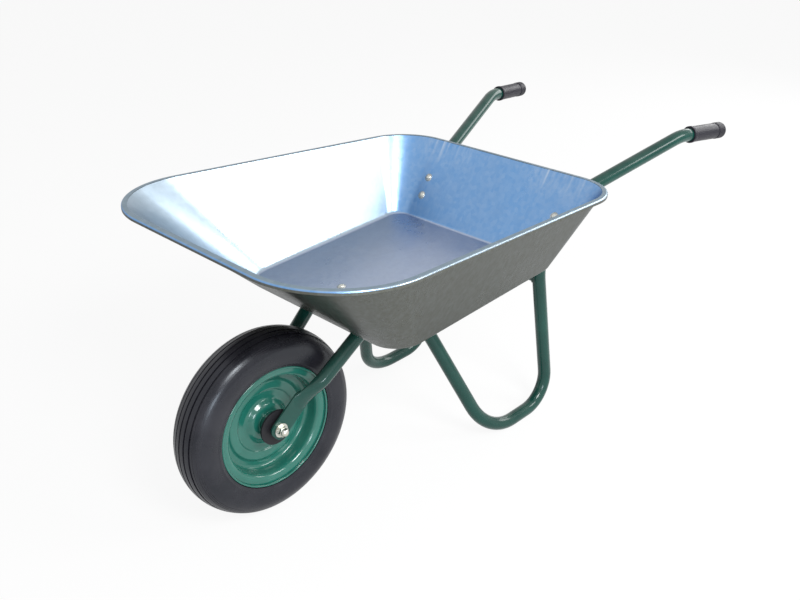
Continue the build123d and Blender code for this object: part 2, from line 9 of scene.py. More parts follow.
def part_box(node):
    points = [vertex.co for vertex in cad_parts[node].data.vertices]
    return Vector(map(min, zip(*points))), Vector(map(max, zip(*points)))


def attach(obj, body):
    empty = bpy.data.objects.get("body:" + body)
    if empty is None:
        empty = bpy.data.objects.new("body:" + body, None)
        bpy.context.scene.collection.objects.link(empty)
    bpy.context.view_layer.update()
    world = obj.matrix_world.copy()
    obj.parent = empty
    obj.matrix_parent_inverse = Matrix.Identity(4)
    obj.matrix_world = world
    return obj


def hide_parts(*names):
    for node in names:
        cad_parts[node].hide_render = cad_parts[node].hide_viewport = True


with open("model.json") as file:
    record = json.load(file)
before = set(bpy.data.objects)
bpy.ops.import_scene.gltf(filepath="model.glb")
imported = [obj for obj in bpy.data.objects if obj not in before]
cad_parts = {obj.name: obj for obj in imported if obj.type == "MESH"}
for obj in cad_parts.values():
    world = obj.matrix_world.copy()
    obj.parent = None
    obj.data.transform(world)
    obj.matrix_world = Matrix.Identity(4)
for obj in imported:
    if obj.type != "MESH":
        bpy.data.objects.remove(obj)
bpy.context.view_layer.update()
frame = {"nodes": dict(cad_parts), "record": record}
nodes = frame["nodes"]

# ---------------------------------------------------------------- colours of the finishes, linear
# The five sheet colours below are painted light, chosen by the way each face looks: a painted blue sky
# reflection on the rear wall, painted reflections on the other walls, the tray floor and the rim, and
# painted shade outside.
GALVANISED_REAR_PAINTED_SKY_REFLECTION = (0.150, 0.325, 0.610)
GALVANISED_WALL_PAINTED_REFLECTION = (0.36, 0.45, 0.53)
GALVANISED_FLOOR_PAINTED_REFLECTION = (0.39, 0.45, 0.58)
GALVANISED_RIM_PAINTED_REFLECTION = (0.21, 0.29, 0.35)
GALVANISED_OUTSIDE_PAINTED_SHADE = (0.116, 0.118, 0.099)
GALVANISED_BRIGHT = (0.62, 0.70, 0.78)
FRAME_GREEN = (0.003, 0.038, 0.030)
FRAME_GREEN_LIGHT = (0.008, 0.085, 0.064)
RIM_GREEN = (0.008, 0.115, 0.085)
RIM_GREEN_LIGHT = (0.045, 0.200, 0.160)
PRIMER_GREY = (0.20, 0.20, 0.19)
ZINC = (0.62, 0.63, 0.60)
ZINC_YELLOWED = (0.52, 0.48, 0.36)
BARE_STEEL = (0.42, 0.42, 0.43)
TYRE_BLACK = (0.008, 0.008, 0.012)
TYRE_WORN = (0.030, 0.028, 0.035)
GRIP_BLACK = (0.012, 0.012, 0.018)
PLASTIC_BLACK = (0.012, 0.012, 0.014)
DUST = (0.32, 0.28, 0.23)
STUDIO_WHITE = (1.0, 1.0, 1.0)
FLOOR_WHITE = (0.94, 0.94, 0.94)

SIDES = (("left", 1), ("right", -1))


# ---------------------------------------------------------------- shader helpers
def fill(tree, socket, value):
    """Link an output socket into an input socket, or write a plain value into it."""
    if isinstance(value, bpy.types.NodeSocket):
        tree.links.new(value, socket)
    else:
        socket.default_value = value


def add(tree, kind, place, **settings):
    """A node of this kind at a place in the tree; the settings are its properties and inputs by name."""
    node = tree.nodes.new(kind)
    node.location = place
    for key, value in settings.items():
        if hasattr(node, key):
            setattr(node, key, value)
        else:
            fill(tree, node.inputs[key.replace("_", " ")], value)
    return node


def feed(tree, shader, **inputs):
    """Link these outputs to the shader's inputs."""
    for key, value in inputs.items():
        tree.links.new(value, shader.inputs[key.replace("_", " ")])


def math_node(tree, operation, place, first, second=None, clamp=False):
    """A Math node; each operand is a number or an output socket."""
    node = add(tree, "ShaderNodeMath", place, operation=operation, use_clamp=clamp)
    for socket, operand in zip(node.inputs, (first, second)):
        if operand is not None:
            fill(tree, socket, operand)
    return node.outputs[0]


def scaled(tree, place, value, gain, base):
    """A value times a gain, plus a base."""
    node = add(tree, "ShaderNodeMath", place, operation="MULTIPLY_ADD")
    for socket, operand in zip(node.inputs, (value, gain, base)):
        fill(tree, socket, operand)
    return node.outputs[0]


def ranged(tree, place, value, low, high, to_low=0.0, to_high=1.0):
    """A Map Range node that also clamps."""
    node = add(tree, "ShaderNodeMapRange", place, clamp=True)
    for socket, number in zip(node.inputs, (value, low, high, to_low, to_high)):
        fill(tree, socket, number)
    return node.outputs[0]


def mix_colour(tree, place, factor, first, second):
    """A Mix node for colours; the two ends are colours or output sockets."""
    node = add(tree, "ShaderNodeMix", place, data_type="RGBA")
    for socket, operand in zip((node.inputs[0], node.inputs[6], node.inputs[7]), (factor, first, second)):
        fill(tree, socket, (*operand, 1.0) if isinstance(operand, tuple) else operand)
    return node.outputs[2]


def mix_value(tree, place, factor, first, second):
    """A Mix node for plain values."""
    node = add(tree, "ShaderNodeMix", place, data_type="FLOAT")
    for socket, operand in zip((node.inputs[0], node.inputs[2], node.inputs[3]), (factor, first, second)):
        fill(tree, socket, operand)
    return node.outputs[0]


def split(tree, place, vector):
    """The X, Y and Z of a vector."""
    node = add(tree, "ShaderNodeSeparateXYZ", place, Vector=vector)
    return node.outputs["X"], node.outputs["Y"], node.outputs["Z"]


def noise(tree, place, vector, **inputs):
    """Noise over a vector, as a value."""
    return add(tree, "ShaderNodeTexNoise", place, Vector=vector, **inputs).outputs["Fac"]


def bumped(tree, place, height, strength, distance, **more):
    """The surface's normal with a height pressed into it."""
    bump = add(tree, "ShaderNodeBump", place, Height=height, Strength=strength, Distance=distance, **more)
    return bump.outputs[0]


def object_place(tree, place, scale=(1, 1, 1), turn=(0, 0, 0)):
    """Object coordinates through a Mapping node."""
    coordinates = add(tree, "ShaderNodeTexCoord", place)
    mapping = add(tree, "ShaderNodeMapping", (place[0] + 200, place[1]), Scale=scale, Rotation=turn)
    tree.links.new(coordinates.outputs["Object"], mapping.inputs["Vector"])
    return mapping.outputs[0]


def new_group(name, inputs, output):
    """An empty shader group with named inputs (None for a vector) and one output, and its two end nodes."""
    tree = bpy.data.node_groups.new(name, "ShaderNodeTree")
    for label, value in inputs.items():
        kind = "NodeSocketVector" if value is None else "NodeSocketFloat"
        socket = tree.interface.new_socket(label, in_out="INPUT", socket_type=kind)
        if value is not None:
            socket.default_value = value
    tree.interface.new_socket(output, in_out="OUTPUT", socket_type="NodeSocketFloat")
    return tree, tree.nodes.new("NodeGroupInput"), tree.nodes.new("NodeGroupOutput")


def place_group(tree, group, place, **values):
    """The output of a shader group; each value is a number or an output socket."""
    return add(tree, "ShaderNodeGroup", place, node_tree=group, **values).outputs[0]


def new_material(name, **constants):
    """A material whose Principled BSDF has these constant inputs."""
    material = bpy.data.materials.new(name)
    material.use_nodes = True
    shader = material.node_tree.nodes["Principled BSDF"]
    for key, value in constants.items():
        shader.inputs[key.replace("_", " ")].default_value = value
    return material, material.node_tree, shader


# ---------------------------------------------------------------- effects that several finishes share
# Each pair says where a mask starts and where it is full.
CLOUD_NOISE = (0.32, 0.68)
EDGE_COSINE = (0.995, 0.93)  # between the true normal and one rounded over the edge
FACING_UP = (0.2, 0.95)
CLUMP_NOISE = (0.38, 0.75)
WEAR_CONTRAST = 9.0


def make_mottle():
    """Soft cloudy variation between 0 and 1."""
    tree, start, end = new_group("mottle", {"Vector": None, "Scale": 20.0, "Detail": 4.0}, "Value")
    vector, scale, detail = (start.outputs[label] for label in ("Vector", "Scale", "Detail"))
    cloud = noise(tree, (0, 0), vector, Scale=scale, Detail=detail, Roughness=0.6)
    tree.links.new(ranged(tree, (200, 0), cloud, *CLOUD_NOISE), end.inputs["Value"])
    return tree


def make_edge_wear():
    """Where an outer edge has been rubbed: a mask that follows sharp edges, broken up by noise."""
    tree, start, end = new_group("edge_wear", {"Width": 0.001, "Amount": 0.5, "Scale": 90.0}, "Mask")
    rounded = add(tree, "ShaderNodeBevel", (0, 0), samples=4, Radius=start.outputs["Width"])
    facing = add(tree, "ShaderNodeNewGeometry", (0, -200))
    dot = add(tree, "ShaderNodeVectorMath", (200, 0), operation="DOT_PRODUCT")
    tree.links.new(rounded.outputs[0], dot.inputs[0])
    tree.links.new(facing.outputs["Normal"], dot.inputs[1])
    edge = ranged(tree, (400, 0), dot.outputs["Value"], *EDGE_COSINE)
    place = add(tree, "ShaderNodeTexCoord", (0, -400)).outputs["Object"]
    grain = noise(tree, (200, -400), place, Scale=start.outputs["Scale"], Detail=5.0, Roughness=0.65)
    chance = math_node(tree, "SUBTRACT", (400, -300), 1.0, start.outputs["Amount"])
    broken = math_node(tree, "SUBTRACT", (550, -350), grain, chance)
    broken = math_node(tree, "MULTIPLY", (700, -350), broken, WEAR_CONTRAST, clamp=True)
    tree.links.new(math_node(tree, "MULTIPLY", (850, 0), edge, broken), end.inputs["Mask"])
    return tree


def make_settled_dust():
    """Dust that lies on faces that look upwards."""
    tree, start, end = new_group("settled_dust", {"Vector": None, "Scale": 14.0, "Amount": 0.3}, "Mask")
    vector, scale, share = (start.outputs[label] for label in ("Vector", "Scale", "Amount"))
    facing = add(tree, "ShaderNodeNewGeometry", (0, 0))
    _, _, upness = split(tree, (200, 0), facing.outputs["Normal"])
    upward = ranged(tree, (400, 0), upness, *FACING_UP)
    grain = noise(tree, (200, -250), vector, Scale=scale, Detail=8.0, Roughness=0.7)
    clumps = ranged(tree, (400, -250), grain, *CLUMP_NOISE)
    amount = math_node(tree, "MULTIPLY", (600, 0), upward, share)
    tree.links.new(math_node(tree, "MULTIPLY", (750, 0), amount, clumps), end.inputs["Mask"])
    return tree


mottle = make_mottle()
edge_wear = make_edge_wear()
settled_dust = make_settled_dust()


# ---------------------------------------------------------------- finishes
# Each pair says where one of the sheet's colours of painted reflection and painted shade starts and where it
# is full.
NORMAL_Z_INSIDE = (0.08, 0.28)
NORMAL_Z_LEVEL = (0.80, 0.95)
NORMAL_X_REAR_WALL = (0.05, 0.60)
HEIGHT_OF_RIM = (0.45, 0.50)
# The sheet is drawn hardest near the rear top corners: distance from the middle, place along X, height.
DRAWN_INNER = (0.06, 0.13)
DRAWN_OUTER = (0.25, 0.18)
DRAWN_REAR = (-0.17, -0.205)
DRAWN_HEIGHT = (0.465, 0.505)
MARKS_FAINT, MARKS_STRONG = 0.06, 0.55
# The legs are rubbed bare from this height down to the ground.
GROUND_CONTACT = (0.006, 0.0)
THREAD_PITCH = 0.00125
# A wave texture of scale 1 has 20 radians of wave to the metre.
THREAD_SCALE = 2 * pi / (20 * THREAD_PITCH)


def sheet_painted_reflection_and_shade(tree, vector, normal):
    """The sheet's painted reflection and painted shade by the way it faces: a painted blue sky reflection on
    the rear wall, painted reflections on the other walls, the tray floor and the rim, painted shade outside;
    and the share that counts as inside.
    """
    normal_x, _, normal_z = split(tree, (-1000, 500), normal)
    _, _, height = split(tree, (-1000, 700), vector)
    inside = ranged(tree, (-800, 500), normal_z, *NORMAL_Z_INSIDE)
    level = ranged(tree, (-800, 650), normal_z, *NORMAL_Z_LEVEL)
    top = ranged(tree, (-800, 800), height, *HEIGHT_OF_RIM)
    # Painted reflection on level faces, then on the walls, then painted shade on the outside.
    flat = mix_colour(tree, (-600, 700), top, GALVANISED_FLOOR_PAINTED_REFLECTION, GALVANISED_RIM_PAINTED_REFLECTION)
    rear = ranged(tree, (-800, 950), normal_x, *NORMAL_X_REAR_WALL)
    wall = mix_colour(tree, (-600, 900), rear, GALVANISED_WALL_PAINTED_REFLECTION, GALVANISED_REAR_PAINTED_SKY_REFLECTION)
    colour = mix_colour(tree, (-500, 550), level, wall, flat)
    return mix_colour(tree, (-400, 400), inside, GALVANISED_OUTSIDE_PAINTED_SHADE, colour), inside


def drawn_marks(tree, vector, marks):
    """The share of bright marks: faint ones all over, long strong ones near the rear top corners."""
    along, aside, height = split(tree, (-1000, -800), vector)
    sideways = math_node(tree, "ABSOLUTE", (-1000, -700), aside)
    inner = ranged(tree, (-850, -600), sideways, *DRAWN_INNER)
    outer = ranged(tree, (-850, -700), sideways, *DRAWN_OUTER)
    corner = math_node(tree, "MULTIPLY", (-750, -650), inner, outer)
    rear = ranged(tree, (-850, -850), along, *DRAWN_REAR)
    high = ranged(tree, (-850, -1000), height, *DRAWN_HEIGHT)
    corner = math_node(tree, "MULTIPLY", (-700, -700), corner, rear)
    corner = math_node(tree, "MULTIPLY", (-550, -700), corner, high)
    strength = ranged(tree, (-400, -700), corner, 0.0, 1.0, MARKS_FAINT, MARKS_STRONG)
    slope = object_place(tree, (-1600, -900), scale=(0.04, 1, 0.04))
    drawn = place_group(tree, mottle, (-1200, -900), Vector=slope, Scale=95.0, Detail=1.0)
    drawn = math_node(tree, "POWER", (-1000, -900), drawn, 3.0)
    drawn = mix_value(tree, (-650, -400), corner, marks, drawn)
    return math_node(tree, "MULTIPLY", (-500, -300), drawn, strength)


def make_galvanised():
    """Pressed galvanised sheet: small spangle, draw marks, a painted blue sky reflection inside and painted
    shade outside.
    """
    tint = (0.65, 0.66, 0.68, 1.0)
    material, tree, shader = new_material("galvanised_sheet", Metallic=0.92, Specular_Tint=tint)
    vector = object_place(tree, (-1600, 0))
    facing = add(tree, "ShaderNodeNewGeometry", (-1200, 500))
    # Painted light: the colour by facing is painted reflection inside and painted shade outside.
    colour, inside = sheet_painted_reflection_and_shade(tree, vector, facing.outputs["Normal"])
    spangle = add(tree, "ShaderNodeTexVoronoi", (-1200, 200), Vector=vector, Scale=110.0, Randomness=1.0)
    crystal = add(tree, "ShaderNodeSeparateColor", (-1000, 200), Color=spangle.outputs["Color"])
    share = math_node(tree, "MULTIPLY", (-800, 200), crystal.outputs[0], 0.10)
    share = math_node(tree, "MULTIPLY", (-650, 200), share, inside)
    colour = mix_colour(tree, (-200, 400), share, colour, GALVANISED_BRIGHT)
    down = object_place(tree, (-1600, -400), scale=(1, 1, 0.06))
    marks = place_group(tree, mottle, (-1200, -400), Vector=down, Scale=130.0, Detail=3.0)
    colour = mix_colour(tree, (-50, 400), drawn_marks(tree, vector, marks), colour, GALVANISED_BRIGHT)
    dust = place_group(tree, settled_dust, (-800, 0), Vector=vector, Scale=9.0, Amount=0.14)
    colour = mix_colour(tree, (100, 400), dust, colour, DUST)
    cloud = place_group(tree, mottle, (-1200, -100), Vector=vector, Scale=4.0, Detail=3.0)
    rough = scaled(tree, (-450, 0), cloud, gain=0.06, base=0.24)
    crystal_rough = math_node(tree, "MULTIPLY", (-600, -150), crystal.outputs[1], 0.06)
    rough = math_node(tree, "ADD", (-300, 0), rough, crystal_rough)
    dusty = math_node(tree, "MULTIPLY", (-450, -100), dust, 0.8)
    rough = math_node(tree, "ADD", (-150, 0), rough, dusty, clamp=True)
    fine = place_group(tree, mottle, (-800, -600), Vector=vector, Scale=14.0, Detail=2.0)
    relief = math_node(tree, "MULTIPLY", (-500, -500), marks, 0.25)
    relief = math_node(tree, "ADD", (-350, -500), relief, fine)
    normal = bumped(tree, (-200, -500), relief, strength=0.06, distance=0.0012)
    feed(tree, shader, Base_Color=colour, Roughness=rough, Normal=normal)
    return material


def make_paint(name, colour, lighter, gloss, ground_wear=False):
    """Sprayed gloss enamel with orange peel, rubbed edges and a little dust."""
    material, tree, shader = new_material(
        name, Metallic=0.0, Specular_IOR_Level=0.10, Coat_Weight=gloss, Coat_Roughness=0.12
    )
    vector = object_place(tree, (-1400, 0))
    cloud = place_group(tree, mottle, (-1000, 200), Vector=vector, Scale=11.0, Detail=5.0)
    shade = math_node(tree, "MULTIPLY", (-800, 200), cloud, 0.35)
    tint = mix_colour(tree, (-600, 300), shade, colour, lighter)
    worn = place_group(tree, edge_wear, (-1000, -100), Width=0.0008, Amount=0.45, Scale=160.0)
    if ground_wear:
        _, _, height = split(tree, (-1200, -350), vector)
        low = ranged(tree, (-1000, -350), height, *GROUND_CONTACT)
        scuffs = place_group(tree, mottle, (-1000, -500), Vector=vector, Scale=70.0, Detail=6.0)
        rubbed = math_node(tree, "MULTIPLY", (-800, -400), low, scuffs)
        worn = math_node(tree, "MAXIMUM", (-650, -200), worn, rubbed)
    tint = mix_colour(tree, (-400, 300), worn, tint, PRIMER_GREY)
    dust = place_group(tree, settled_dust, (-800, -700), Vector=vector, Scale=22.0, Amount=0.10)
    tint = mix_colour(tree, (-200, 300), dust, tint, DUST)
    spoiled = math_node(tree, "ADD", (-400, -150), dust, worn)
    spoiled = math_node(tree, "MULTIPLY", (-250, -150), spoiled, 0.5)
    rough = scaled(tree, (-250, 0), cloud, gain=0.06, base=0.20)
    rough = math_node(tree, "ADD", (-100, 0), rough, spoiled, clamp=True)
    peel = noise(tree, (-600, -900), vector, Scale=420.0, Detail=1.0)
    relief = math_node(tree, "SUBTRACT", (-400, -900), peel, worn)
    normal = bumped(tree, (-200, -900), relief, strength=0.06, distance=0.0005)
    feed(tree, shader, Base_Color=tint, Roughness=rough, Normal=normal)
    return material


def make_zinc(name="zinc", lie=None):
    """Bright zinc plating, slightly yellow in places; a lie, which turns a shank onto X, adds its thread."""
    material, tree, shader = new_material(name, Metallic=1.0)
    vector = object_place(tree, (-1200, 0))
    cloud = place_group(tree, mottle, (-900, 200), Vector=vector, Scale=90.0, Detail=4.0)
    share = math_node(tree, "MULTIPLY", (-700, 200), cloud, 0.5)
    colour = mix_colour(tree, (-500, 200), share, ZINC, ZINC_YELLOWED)
    worn = place_group(tree, edge_wear, (-900, -50), Width=0.0006, Amount=0.6, Scale=220.0)
    polished = math_node(tree, "MULTIPLY", (-700, -150), worn, 0.10)
    rough = scaled(tree, (-550, 0), cloud, gain=0.14, base=0.20)
    rough = math_node(tree, "SUBTRACT", (-400, 0), rough, polished)
    grain = noise(tree, (-700, -400), vector, Scale=900.0, Detail=2.0)
    normal = bumped(tree, (-400, -400), grain, strength=0.15, distance=0.0001)
    if lie is not None:
        along = object_place(tree, (-1200, -700), turn=lie)
        crests = add(tree, "ShaderNodeTexWave", (-800, -700), Vector=along, Scale=THREAD_SCALE)
        crests.bands_direction = "X"
        crests.wave_profile = "TRI"
        depth = crests.outputs["Fac"]
        normal = bumped(tree, (-200, -500), depth, strength=0.9, distance=0.0006, Normal=normal)
    feed(tree, shader, Base_Color=colour, Roughness=rough, Normal=normal)
    return material


def make_steel():
    """Turned bare steel with a thin film of oil."""
    material, tree, shader = new_material("plain_steel", Metallic=1.0, Coat_Weight=0.2, Coat_Roughness=0.15)
    rings = object_place(tree, (-1200, 0), scale=(0.05, 1, 0.05))
    turned = place_group(tree, mottle, (-900, 0), Vector=rings, Scale=900.0, Detail=2.0)
    share = math_node(tree, "MULTIPLY", (-700, 100), turned, 0.4)
    colour = mix_colour(tree, (-500, 100), share, BARE_STEEL, ZINC)
    rough = scaled(tree, (-500, -100), turned, gain=0.15, base=0.22)
    normal = bumped(tree, (-400, -300), turned, strength=0.2, distance=0.00008)
    feed(tree, shader, Base_Color=colour, Roughness=rough, Normal=normal)
    return material


def make_tyre_rubber():
    """Moulded black rubber, scuffed grey on its highest parts, with a painted blue sky reflection in the
    tint of its gloss.
    """
    # The blue specular tint is a painted sky reflection.
    tint = (0.88, 0.94, 1.0, 1.0)
    material, tree, shader = new_material(
        "tyre_rubber", Metallic=0.0, Specular_IOR_Level=0.40, Specular_Tint=tint
    )
    vector = object_place(tree, (-1200, 0))
    cloud = place_group(tree, mottle, (-900, 200), Vector=vector, Scale=16.0, Detail=6.0)
    share = math_node(tree, "MULTIPLY", (-700, 200), cloud, 0.45)
    colour = mix_colour(tree, (-500, 200), share, TYRE_BLACK, TYRE_WORN)
    worn = place_group(tree, edge_wear, (-900, -50), Width=0.0012, Amount=0.62, Scale=120.0)
    colour = mix_colour(tree, (-300, 200), worn, colour, TYRE_WORN)
    rough = scaled(tree, (-550, 0), cloud, gain=0.14, base=0.22)
    pores = noise(tree, (-700, -300), vector, Scale=700.0, Detail=3.0)
    normal = bumped(tree, (-400, -300), pores, strength=0.25, distance=0.0002)
    feed(tree, shader, Base_Color=colour, Roughness=rough, Normal=normal)
    return material


def make_black_moulding(name, colour, stipple, roughness):
    """Black rubber or plastic with a stippled mould texture."""
    material, tree, shader = new_material(name, Metallic=0.0, Specular_IOR_Level=0.22)
    vector = object_place(tree, (-1200, 0))
    cloud = place_group(tree, mottle, (-900, 200), Vector=vector, Scale=30.0, Detail=5.0)
    share = math_node(tree, "MULTIPLY", (-700, 200), cloud, 0.30)
    tint = mix_colour(tree, (-500, 200), share, colour, TYRE_WORN)
    worn = place_group(tree, edge_wear, (-900, -50), Width=0.0008, Amount=0.55, Scale=150.0)
    tint = mix_colour(tree, (-300, 200), worn, tint, TYRE_WORN)
    rough = scaled(tree, (-500, 0), cloud, gain=0.12, base=roughness)
    dots = add(tree, "ShaderNodeTexVoronoi", (-700, -300), Vector=vector, Scale=stipple)
    relief = dots.outputs["Distance"]
    normal = bumped(tree, (-400, -300), relief, strength=0.35, distance=0.0003, invert=True)
    feed(tree, shader, Base_Color=tint, Roughness=rough, Normal=normal)
    return material


finishes = {
    "galvanised_sheet": make_galvanised(),
    "frame_paint": make_paint("frame_paint", FRAME_GREEN, FRAME_GREEN_LIGHT, 0.55, ground_wear=True),
    "rim_paint": make_paint("rim_paint", RIM_GREEN, RIM_GREEN_LIGHT, 1.0),
    "zinc": make_zinc(),
    "zinc_axle": make_zinc("zinc_axle", lie=(0, 0, -pi / 2)),
    "zinc_floor_bolt": make_zinc("zinc_floor_bolt", lie=(0, pi / 2, 0)),
    "zinc_back_bolt": make_zinc("zinc_back_bolt", lie=(0, radians(35.0), 0)),
    "plain_steel": make_steel(),
    "tyre_rubber": make_tyre_rubber(),
    "tube_rubber": make_black_moulding("tube_rubber", TYRE_BLACK, 300.0, 0.5),
    "grip_rubber": make_black_moulding("grip_rubber", GRIP_BLACK, 480.0, 0.36),
    "cage_plastic": make_black_moulding("cage_plastic", PLASTIC_BLACK, 700.0, 0.42),
    "cap_plastic": make_black_moulding("cap_plastic", PLASTIC_BLACK, 700.0, 0.45),
}
# Sub-parts whose finish shows a thread; every other one has the finish of its material slot.
THREADED = {"axle_rod": "zinc_axle", "floor_bolts": "zinc_floor_bolt", "back_bolts": "zinc_back_bolt"}
slots = {sub_part["node"]: sub_part["material_slot"] for sub_part in frame["record"]["subparts"]}


def dress(piece, finish):
    """Give a piece one finish all over."""
    piece.data.materials.clear()
    piece.data.materials.append(finishes[finish])


# ---------------------------------------------------------------- modelling helpers
SAME_POINT = 1e-6  # points nearer than this are one point
CORNER_SEGMENTS = 8


def box_of(node):
    """The low and the high corner of a node's box."""
    return [Vector(corner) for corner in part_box(node)]


def middle_of(node):
    """The middle of a node's box."""
    low, high = box_of(node)
    return (low + high) / 2


def select_only(piece):
    """Select this piece alone and make it the active one."""
    bpy.ops.object.select_all(action="DESELECT")
    bpy.context.view_layer.objects.active = piece
    piece.select_set(True)


def close():
    """Leave the mesh that is being edited."""
    bpy.ops.object.mode_set(mode="OBJECT")


def pick_points(piece, *places):
    """Select the points that lie at one of these places; the mesh is open before and after."""
    mesh = bmesh.from_edit_mesh(piece.data)
    for vertex in mesh.verts:
        vertex.select_set(min((vertex.co - place).length for place in places) < SAME_POINT)
    mesh.select_flush_mode()
    bmesh.update_edit_mesh(piece.data)


def pick_faces(piece, wanted):
    """Select the faces that pass the test; the mesh is open before and after."""
    bpy.ops.mesh.select_mode(type="FACE")
    mesh = bmesh.from_edit_mesh(piece.data)
    for face in mesh.faces:
        face.select_set(wanted(face))
    bmesh.update_edit_mesh(piece.data)


def start_line(name, points):
    """A wire through points in space, drawn by extruding one point; its mesh stays open."""
    bpy.ops.object.select_all(action="DESELECT")
    bpy.ops.mesh.primitive_plane_add(size=0.001)
    line = bpy.context.object
    line.name = name
    bpy.ops.object.mode_set(mode="EDIT")
    bpy.ops.mesh.select_mode(type="VERT")
    bpy.ops.mesh.select_all(action="SELECT")
    bpy.ops.mesh.merge(type="CENTER")
    bpy.ops.transform.translate(value=points[0])
    for here, there in zip(points, points[1:]):
        bpy.ops.mesh.extrude_region_move(TRANSFORM_OT_translate={"value": there - here})
    return line


def join_ends(line, points):
    """Join the last point of an open wire to its first."""
    pick_points(line, points[0], points[-1])
    bpy.ops.mesh.edge_face_add()


def wheel_point(radius, sideways):
    """A point straight above the axle."""
    return Vector((AXLE.x, AXLE.y + sideways, AXLE.z + radius))


def draw_section(name, place, corners):
    """A wire through corners of (first, second, cut back): place gives their points, the cut rounds them."""
    line = start_line(name, [place(first, second) for first, second, _ in corners])
    rounding = {"offset_type": "OFFSET", "segments": CORNER_SEGMENTS, "profile": 0.5, "affect": "VERTICES"}
    for first, second, cut in corners:
        if cut:
            pick_points(line, place(first, second))
            bpy.ops.mesh.bevel(offset=cut, **rounding)
    return line


def merge_points():
    """Merge the points of the open mesh that meet, and point its faces outwards."""
    bpy.ops.mesh.select_all(action="SELECT")
    bpy.ops.mesh.remove_doubles(threshold=SAME_POINT)
    bpy.ops.mesh.normals_make_consistent(inside=False)


def spin_round(steps, centre, axis):
    """Turn the wire that is being edited once round an axis, and close the seam."""
    bpy.ops.mesh.select_all(action="SELECT")
    bpy.ops.mesh.spin(steps=steps, angle=2 * pi, center=centre, axis=axis)
    merge_points()


def press_in(depth):
    """Press the selected faces into the piece."""
    bpy.ops.mesh.extrude_region_shrink_fatten(TRANSFORM_OT_shrink_fatten={"value": -depth})


def apply_modifier(piece, kind, **settings):
    """Give a piece a modifier with these settings and apply it."""
    bpy.context.view_layer.objects.active = piece
    modifier = piece.modifiers.new(kind.title(), kind)
    for key, value in settings.items():
        setattr(modifier, key, value)
    bpy.ops.object.modifier_apply(modifier=modifier.name)


def smooth(piece, angle):
    """Shade a piece smooth, apart from edges sharper than this angle in degrees."""
    select_only(piece)
    bpy.ops.object.shade_smooth_by_angle(angle=radians(angle))


def place_piece(piece, body, slot, *stands_for):
    """Fix the place in the mesh, dress the piece in the finish of its slot, hang it under its body, and hide
    the parts it stands for.
    """
    select_only(piece)
    bpy.ops.object.transform_apply(location=True, rotation=True, scale=True)
    dress(piece, slot)
    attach(piece, body)
    if stands_for:
        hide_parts(*stands_for)


AXLE = middle_of("hub_tube")
WHEEL_AXIS = Vector((0, 1, 0))


# ---------------------------------------------------------------- tyre
tyre_low, tyre_high = box_of("tyre")
TYRE_ALLOWANCE = 0.00002  # keeps the moulded tyre inside its solid's box
TYRE_RADIUS = (tyre_high.z - tyre_low.z) / 2 - TYRE_ALLOWANCE
# One half of the outside is three arcs: (radius of the centre, its distance sideways, the arc's radius).
# Places on an arc are angles in degrees, from straight outwards towards the side.
TREAD_CURVE = 0.065
TREAD_ARC = (TYRE_RADIUS - TREAD_CURVE, 0.0, TREAD_CURVE)
SHOULDER_ARC = (0.150, 0.0108, 0.0341)
WALL_ARC = (0.150, -0.0313, 0.0762)
# One groove runs round the middle of the tread and two on each side, with a rib after each.
GROOVE_DEPTH = 0.003
GROOVE_PITCH = 10.6
GROOVES = (GROOVE_PITCH, 21.7)
GROOVE_HALF = 1.6
RIB_WIDTH = GROOVE_PITCH - 2 * GROOVE_HALF
RIB_POINTS = (0.2, 0.8)  # shares of a rib's width
FLOOR_SHARE = 0.8  # a groove's floor is this share of its mouth
# Fine lines on the outer rib and on the shoulder.
LINE_DEPTH = 0.0007
LINE_HALF = 0.7
RIB_LINE, RIB_LINE_HALF = 27.4, LINE_HALF * 0.6
OUTER_RIB_START, OUTER_RIB_END = 25.0, 29.5
SHOULDER_START = 42.5
SHOULDER_LINES = (47.0, 53.0, 59.0)
# The side wall below the lines, with a low ring just outside the rim's edge.
SHOULDER_PLAIN = (63.0, 68.0, 73.0, 78.0, 84.0, 90.0)
WALL_PLAIN = (93.0, 96.0, 99.0, 102.0, 105.0)
WALL_RING = (106.0, 107.0)
RING_RISE = 0.0006
WALL_END = (108.0, 110.0, 111.2)
# Fine slots across the ribs: the tread is made of SIPE_COUNT equal sectors.
SIPE_COUNT = 72
SIPE_DEPTH = 0.0016
SIPE_MARGIN = 0.0006  # round each slot's part of the rib
SIPE_SHARE = 0.16  # of the length inside the margin
STEP_TOLERANCE = 0.2  # degrees
RIB_TOLERANCE = 0.0008
# (radius, sideways) round the bead, from its heel to its toe, then along the inside to the crown.
BEAD = [
    (0.1216, 0.0327),
    (0.1107, 0.0327),
    (0.1073, 0.0320),
    (0.1044, 0.0301),
    (0.1025, 0.0272),
    (0.1018, 0.0238),
]
TYRE_INSIDE = [
    (0.1018, 0.0207),
    (0.1078, 0.0207),
    (0.1460, 0.0388),
    (0.1540, 0.0388),
    (0.1680, 0.0310),
    (0.1770, 0.0165),
]


def on_arc(arc, angle, depth=0.0):
    """(radius, sideways) of a point on an arc, or this far under it."""
    centre_radius, centre_sideways, arc_radius = arc
    reach = arc_radius - depth
    return centre_radius + reach * cos(radians(angle)), centre_sideways + reach * sin(radians(angle))


def cut_at(arc, angle, half, depth):
    """The four corners of a groove across an arc."""
    return [
        on_arc(arc, angle - half),
        on_arc(arc, angle - half * FLOOR_SHARE, depth),
        on_arc(arc, angle + half * FLOOR_SHARE, depth),
        on_arc(arc, angle + half),
    ]


